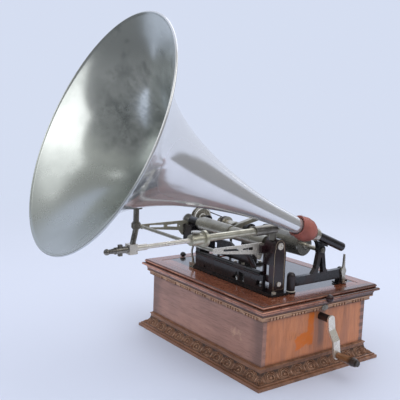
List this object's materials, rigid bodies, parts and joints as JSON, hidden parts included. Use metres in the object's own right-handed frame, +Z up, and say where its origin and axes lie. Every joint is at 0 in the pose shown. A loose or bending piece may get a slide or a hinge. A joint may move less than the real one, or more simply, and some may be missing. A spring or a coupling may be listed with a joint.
{
  "type": "cylinder phonograph",
  "caption": "Cylinder phonograph: moulded wooden case with a hinged deck, iron works with a mandrel, feed tube and swing gate, and a flared metal horn on a crane.",
  "frame": {"origin": "on the table, under the middle of the case", "axes": "+Z up; +X along the case towards the crank; -Y towards the mouth of the horn"},
  "size_m": [0.5329, 0.6778, 0.6257],
  "materials": {
    "case_wood": "polished",
    "panel_wood": "high polish",
    "black_iron": "japanned, gold lined",
    "nickel": "nickel plate, worn",
    "dark_nickel": "nickel plate, dull",
    "steel": "plain",
    "brass": "plain",
    "horn_metal": "spun, satin",
    "red_leather": "worn",
    "belt_leather": "plain",
    "grip_wood": "turned",
    "knob_maroon": "stained"
  },
  "bodies": {
    "case": {"case_long_panels": "case_wood", "case_left": "case_wood", "case_right": "case_wood", "case_bottom": "case_wood", "plinth_mouldings": "case_wood", "cornice_strips": "case_wood", "crank_escutcheon": "black_iron", "hinge_case_leaves": "brass"},
    "deck": {"deck_panel": "panel_wood", "deck_frame": "case_wood", "hinge_deck_leaves": "brass", "bedplate": "black_iron", "right_pedestal": "black_iron", "spindle_standard": "black_iron", "bed_screws": "nickel", "guide_tube": "nickel", "gate_pivot_post": "black_iron", "gate_rest_post": "black_iron", "crane_socket": "dark_nickel", "crane_tube": "nickel", "lever_foot": "nickel", "belts": "belt_leather", "motor_frame": "steel", "leather_sleeve": "red_leather", "tube_ring": "nickel", "sound_tube": "black_iron"},
    "horn": {"horn_bell": "horn_metal"},
    "crane_rod": {"crane_rod": "nickel", "crane_clamp": "nickel", "horn_post": "dark_nickel", "horn_post_nut": "nickel"},
    "clamp_lever": {"clamp_lever": "nickel"},
    "thumb_screw": {"crane_thumb_screw": "nickel"},
    "bail": {"bail_arm_right": "nickel", "bail_arm_left": "nickel", "bail_bar": "nickel"},
    "bail_stay": {"bail_stay": "black_iron"},
    "gate": {"gate_arm": "black_iron"},
    "gate_centre": {"gate_centre": "nickel"},
    "gate_latch": {"gate_latch": "nickel"},
    "mandrel": {"mandrel": "nickel", "mandrel_spindle": "nickel"},
    "idler": {"idler_gear": "steel"},
    "feed": {"feed_screw": "steel"},
    "carriage": {"carriage": "nickel"},
    "reproducer": {"reproducer_arm": "nickel", "sound_box": "nickel"},
    "crank": {"crank_hub": "black_iron", "crank_arm": "nickel"},
    "grip": {"crank_handle": "grip_wood"},
    "barrel": {"spring_barrel": "brass", "mainspring": "steel"},
    "barrel_arbor": {"barrel_arbor": "steel"},
    "pawl": {"pawl": "steel"},
    "winding_arbor": {"winding_arbor": "steel"},
    "drive_shaft": {"drive_shaft": "steel"},
    "governor": {"governor": "brass"},
    "start_lever": {"start_lever": "nickel"},
    "deck_catch": {"deck_catch": "knob_maroon"},
    "speed_knob": {"speed_knob": "black_iron"}
  },
  "joints": [
    {"name": "deck_hinge", "type": "hinge", "parent": "case", "child": "deck", "pos_m": [-0.2034, 0, 0.131], "axis": [0, -1, 0], "range_deg": [0, 75]},
    {"name": "horn_pull_off", "type": "slide", "parent": "deck", "child": "horn", "axis": [-0.0568, -0.9183, 0.3917], "range_m": [0, 0.08]},
    {"name": "crane_slide", "type": "slide", "parent": "deck", "child": "crane_rod", "axis": [0, 0.9998, 0.0209], "range_m": [0, 0.025]},
    {"name": "clamp_lever_turn", "type": "hinge", "parent": "crane_rod", "child": "clamp_lever", "pos_m": [0.135, -0.37793, 0.26624], "axis": [0, -0.9998, -0.0209], "range_deg": [-45, 45]},
    {"name": "thumb_screw_turn", "type": "hinge", "parent": "deck", "child": "thumb_screw", "pos_m": [0.135, -0.25409, 0.27483], "axis": [0, -0.0209, 0.9998], "range_deg": [-180, 180]},
    {"name": "bail_hinge", "type": "hinge", "parent": "deck", "child": "bail", "pos_m": [0, -0.094, 0.234], "axis": [-1, 0, 0], "range_deg": [0, 35]},
    {"name": "bail_stay_hinge", "type": "hinge", "parent": "bail", "child": "bail_stay", "pos_m": [0.1121, -0.123, 0.23], "axis": [1, 0, 0], "range_deg": [-25, 25]},
    {"name": "gate_hinge", "type": "hinge", "parent": "deck", "child": "gate", "pos_m": [0.154, -0.047, 0.17], "axis": [0, 0, -1], "range_deg": [0, 100]},
    {"name": "gate_centre_turn", "type": "hinge", "parent": "gate", "child": "gate_centre", "pos_m": [0.154, 0.026, 0.226], "axis": [1, 0, 0], "range_deg": [-180, 180]},
    {"name": "gate_latch_hinge", "type": "hinge", "parent": "gate", "child": "gate_latch", "pos_m": [0.1585, 0.088, 0.178], "axis": [-1, 0, 0], "range_deg": [0, 60]},
    {"name": "mandrel_spin", "type": "hinge", "parent": "deck", "child": "mandrel", "pos_m": [0, 0.026, 0.226], "axis": [1, 0, 0], "continuous": true},
    {"name": "idler_spin", "type": "hinge", "parent": "deck", "child": "idler", "pos_m": [-0.15, -0.037, 0.244], "axis": [1, 0, 0], "continuous": true},
    {"name": "feed_spin", "type": "hinge", "parent": "deck", "child": "feed", "pos_m": [0, -0.075, 0.242], "axis": [1, 0, 0], "continuous": true},
    {"name": "carriage_slide", "type": "slide", "parent": "deck", "child": "carriage", "axis": [1, 0, 0], "range_m": [0, 0.1]},
    {"name": "reproducer_lift", "type": "hinge", "parent": "carriage", "child": "reproducer", "pos_m": [0, -0.051, 0.254], "axis": [1, 0, 0], "range_deg": [0, 60]},
    {"name": "crank_spin", "type": "hinge", "parent": "case", "child": "crank", "pos_m": [0.195, 0.01, 0.1055], "axis": [1, 0, 0], "continuous": true},
    {"name": "grip_spin", "type": "hinge", "parent": "crank", "child": "grip", "pos_m": [0.24, 0.02064, 0.03834], "axis": [1, 0, 0], "continuous": true},
    {"name": "winding_spin", "type": "hinge", "parent": "deck", "child": "winding_arbor", "pos_m": [0.06, 0.01, 0.1055], "axis": [1, 0, 0], "continuous": true},
    {"name": "barrel_arbor_spin", "type": "hinge", "parent": "deck", "child": "barrel_arbor", "pos_m": [0, -0.026, 0.082], "axis": [1, 0, 0], "continuous": true},
    {"name": "pawl_hinge", "type": "hinge", "parent": "deck", "child": "pawl", "pos_m": [0.053, -0.043, 0.1], "axis": [1, 0, 0], "range_deg": [0, 25]},
    {"name": "barrel_spin", "type": "hinge", "parent": "deck", "child": "barrel", "pos_m": [0, -0.026, 0.082], "axis": [1, 0, 0], "continuous": true},
    {"name": "drive_spin", "type": "hinge", "parent": "deck", "child": "drive_shaft", "pos_m": [0, 0.026, 0.08], "axis": [1, 0, 0], "continuous": true},
    {"name": "governor_spin", "type": "hinge", "parent": "deck", "child": "governor", "pos_m": [0, 0.076, 0.066], "axis": [1, 0, 0], "continuous": true},
    {"name": "start_lever_hinge", "type": "hinge", "parent": "deck", "child": "start_lever", "pos_m": [-0.093, -0.093, 0.1567], "axis": [0, 1, 0], "range_deg": [-12, 12]},
    {"name": "catch_turn", "type": "hinge", "parent": "deck", "child": "deck_catch", "pos_m": [0.203, 0.007, 0.1455], "axis": [1, 0, 0], "range_deg": [-90, 90]},
    {"name": "speed_knob_turn", "type": "hinge", "parent": "deck", "child": "speed_knob", "pos_m": [-0.176, -0.062, 0.155], "axis": [0, 0, 1], "range_deg": [-150, 150]}
  ],
  "couplings": [
    {"joint": "drive_spin", "follows": "mandrel_spin", "ratio": 0.88235},
    {"joint": "barrel_spin", "follows": "mandrel_spin", "ratio": -0.28676},
    {"joint": "governor_spin", "follows": "mandrel_spin", "ratio": -6.4706},
    {"joint": "idler_spin", "follows": "mandrel_spin", "ratio": 0.64706},
    {"joint": "feed_spin", "follows": "mandrel_spin", "ratio": -1.1448},
    {"joint": "winding_spin", "follows": "crank_spin", "ratio": 1},
    {"joint": "barrel_arbor_spin", "follows": "crank_spin", "ratio": -0.35088}
  ]
}
